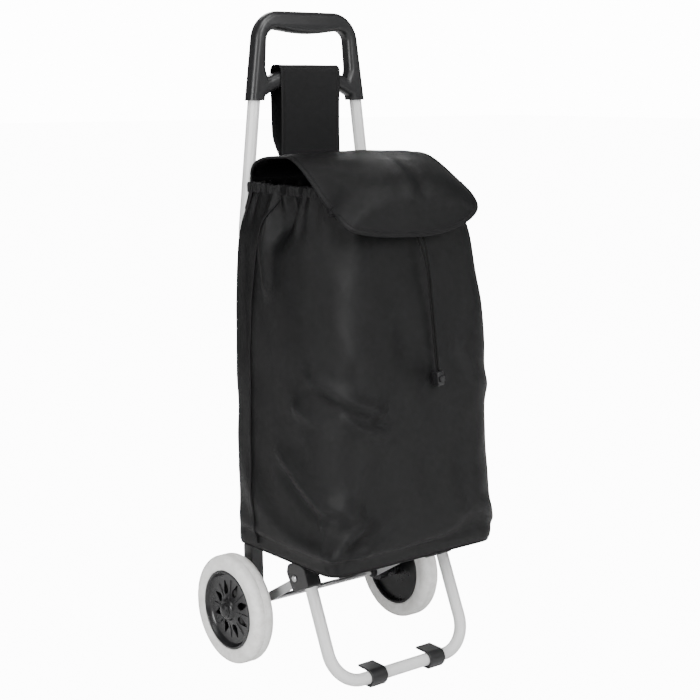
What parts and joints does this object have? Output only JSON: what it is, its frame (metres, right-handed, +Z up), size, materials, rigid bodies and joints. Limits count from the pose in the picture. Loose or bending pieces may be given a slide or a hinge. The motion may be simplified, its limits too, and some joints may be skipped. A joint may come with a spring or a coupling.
{
  "type": "two-wheeled shopping trolley",
  "caption": "Upright shopping trolley: tube frame with a moulded handle, spoked-look wheels, folding U-shaped front leg, and a tall black fabric bag with flap and drawstring.",
  "frame": {"origin": "on the ground, in the middle of the footprint box", "axes": "+Z up, -Y towards the front (the side with the leg and the drawstring), +X across the width along the axle"},
  "size_m": [0.36, 0.3227, 0.9341],
  "materials": {
    "paint": "light grey powder coat",
    "plastic": "black, satin, moulded",
    "foam": "off-white moulded foam, matt",
    "chrome": "polished",
    "steel": "zinc plated, satin",
    "nylon": "black coated woven nylon, soft sheen",
    "webbing": "black woven tape, matt",
    "cord": "black braided cord",
    "board": "grey board, matt"
  },
  "bodies": {
    "frame": {"side_tube_left": "paint", "side_tube_right": "paint", "cross_tube_lower": "paint", "cross_tube_upper": "paint", "handle": "plastic", "handle_screw_left": "steel", "handle_screw_right": "steel", "axle_bracket_left": "plastic", "axle_bracket_right": "plastic", "bracket_rivet_left": "steel", "bracket_rivet_right": "steel", "axle": "chrome", "axle_cap_left": "plastic", "axle_cap_right": "plastic", "wheel_spacer_left": "plastic", "wheel_spacer_right": "plastic", "strut_left": "steel", "strut_right": "steel", "strut_bush_left": "plastic", "strut_bush_right": "plastic", "leg_rivet_left": "steel", "leg_rivet_right": "steel", "base_wire": "chrome", "bag_body": "nylon", "bag_base_board": "board", "bag_hem": "nylon", "hem_cord": "cord", "eyelet_left": "steel", "eyelet_right": "steel", "drawstring_left": "cord", "drawstring_right": "cord", "hanging_strap": "webbing", "tube_loop_left": "webbing", "tube_loop_right": "webbing"},
    "wheel_left": {"hub_left": "plastic", "tyre_left": "foam"},
    "wheel_right": {"hub_right": "plastic", "tyre_right": "foam"},
    "leg": {"leg_tube": "paint", "leg_block_left": "plastic", "leg_block_right": "plastic", "foot_clip_left": "plastic", "foot_clip_right": "plastic"},
    "bag_flap": {"flap": "nylon"},
    "cord_lock": {"cord_lock_body": "plastic"},
    "lock_button": {"cord_lock_button": "plastic"}
  },
  "joints": [
    {"name": "wheel_left_spin", "type": "hinge", "parent": "frame", "child": "wheel_left", "pos_m": [-0.1571, 0.07725, 0.08], "axis": [1, 0, 0], "continuous": true},
    {"name": "wheel_right_spin", "type": "hinge", "parent": "frame", "child": "wheel_right", "pos_m": [0.1571, 0.07725, 0.08], "axis": [1, 0, 0], "continuous": true},
    {"name": "leg_fold", "type": "hinge", "parent": "frame", "child": "leg", "pos_m": [0, -0.03975, 0.151], "axis": [1, 0, 0], "range_deg": [0, 75]},
    {"name": "flap_open", "type": "hinge", "parent": "frame", "child": "bag_flap", "pos_m": [0, 0.09175, 0.7005], "axis": [-1, 0, 0], "range_deg": [0, 55]},
    {"name": "cord_lock_slide", "type": "slide", "parent": "frame", "child": "cord_lock", "axis": [-0.1312, 0, 0.9914], "range_m": [0, 0.1]},
    {"name": "lock_button_press", "type": "slide", "parent": "cord_lock", "child": "lock_button", "axis": [0, 1, 0], "range_m": [0, 0.0025], "stiffness_N_per_m": 800, "springref_m": -0.002}
  ]
}
